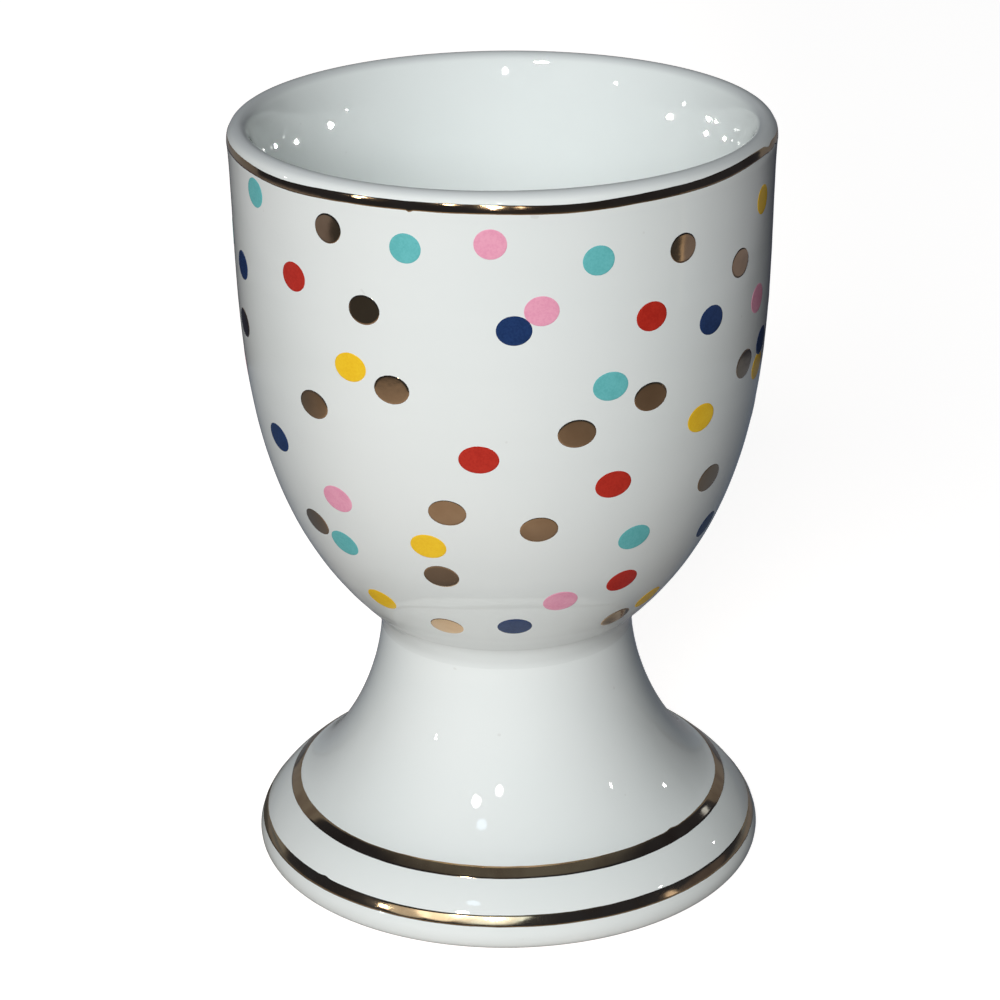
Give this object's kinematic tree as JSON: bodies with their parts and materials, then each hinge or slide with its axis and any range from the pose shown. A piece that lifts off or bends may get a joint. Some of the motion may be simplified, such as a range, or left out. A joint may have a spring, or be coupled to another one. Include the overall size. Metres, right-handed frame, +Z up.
{
  "type": "egg cup",
  "caption": "Footed porcelain egg cup with a deep bowl, a hollow flared foot, gilt bands and a scatter of printed polka dots.",
  "frame": {"origin": "centre of the foot ring, on the table", "axes": "+Z up along the axis of the cup, -Y towards the viewer of the printed front"},
  "size_m": [0.0472, 0.0472, 0.0684],
  "materials": {
    "porcelain": "gloss glaze",
    "slip": "gloss glaze",
    "gilt": "polished gilding",
    "gilt_dots": "polished gilding",
    "pink_enamel": "gloss enamel",
    "teal_enamel": "gloss enamel",
    "yellow_enamel": "gloss enamel",
    "red_enamel": "gloss enamel",
    "navy_enamel": "gloss enamel"
  },
  "bodies": {
    "root": {"bowl": "porcelain", "foot": "porcelain", "luting_slip": "slip", "rim_gold_band": "gilt", "step_gold_band": "gilt", "base_gold_band": "gilt", "dots_pink": "pink_enamel", "dots_teal": "teal_enamel", "dots_yellow": "yellow_enamel", "dots_red": "red_enamel", "dots_navy": "navy_enamel", "dots_gold": "gilt_dots"}
  },
  "joints": []
}
